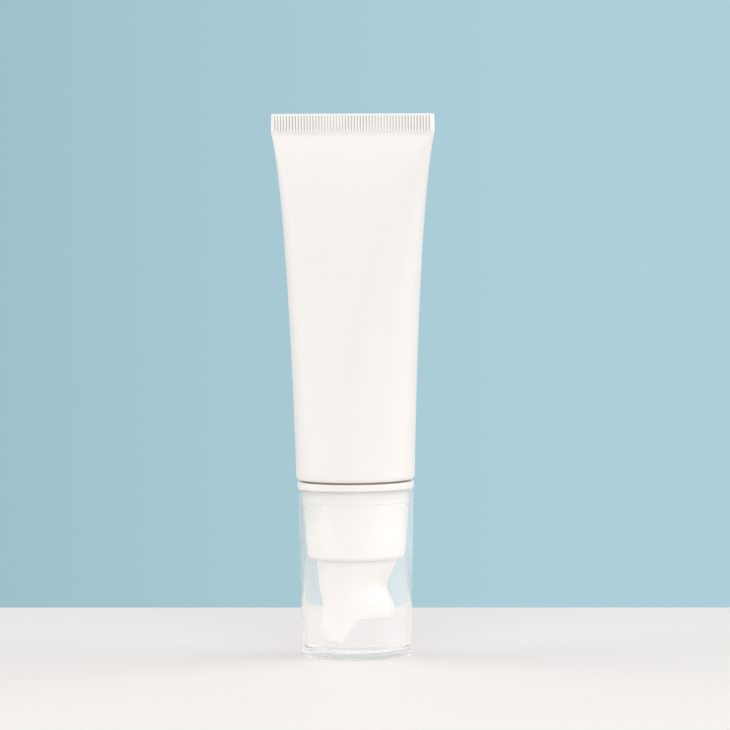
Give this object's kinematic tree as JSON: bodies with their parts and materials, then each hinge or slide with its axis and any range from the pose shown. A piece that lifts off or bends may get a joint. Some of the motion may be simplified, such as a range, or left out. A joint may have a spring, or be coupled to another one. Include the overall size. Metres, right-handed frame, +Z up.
{
  "type": "airless pump tube",
  "caption": "Squeeze tube with an airless pump head under a clear overcap, standing on the cap with its crimped tail up.",
  "frame": {"origin": "centre of the overcap's flat end, which the tube stands on", "axes": "+Z up along the tube's axis to the crimped tail; X along the crimped seal; the outlet points to -X turned 28 degrees about Z"},
  "size_m": [0.0544, 0.035, 0.1601],
  "materials": {
    "sleeve_plastic": "soft satin white film",
    "moulded_plastic": "plain moulded white",
    "collar_plastic": "satin moulded white",
    "actuator_plastic": "satin moulded white",
    "clear_plastic": "polished clear plastic",
    "soft_seal": "soft translucent natural",
    "spring_steel": "drawn stainless wire"
  },
  "bodies": {
    "tube": {"tube_sleeve": "sleeve_plastic", "tube_shoulder": "moulded_plastic", "neck_gasket": "soft_seal", "pump_housing": "moulded_plastic", "inlet_valve": "soft_seal", "stem_guide": "moulded_plastic", "return_spring": "spring_steel", "snap_fixture": "moulded_plastic", "collar_cover": "collar_plastic"},
    "stem": {"stem": "moulded_plastic"},
    "piston": {"piston": "soft_seal"},
    "actuator": {"actuator": "actuator_plastic"},
    "cap": {"overcap": "clear_plastic"}
  },
  "joints": [
    {"name": "cap_pull", "type": "slide", "parent": "tube", "child": "cap", "axis": [0, 0, -1], "range_m": [0, 0.052]},
    {"name": "pump_stroke", "type": "slide", "parent": "tube", "child": "stem", "axis": [0, 0, 1], "range_m": [0, 0.0045], "stiffness_N_per_m": 700, "springref_m": -0.008, "deforming": ["return_spring"]},
    {"name": "piston_travel", "type": "slide", "parent": "tube", "child": "piston", "axis": [0, 0, 1], "range_m": [0, 0.0038]},
    {"name": "head_swivel", "type": "hinge", "parent": "stem", "child": "actuator", "pos_m": [0, 0, 0], "axis": [0, 0, 1], "continuous": true}
  ],
  "couplings": [
    {"joint": "piston_travel", "follows": "pump_stroke", "ratio": 0.8444}
  ]
}
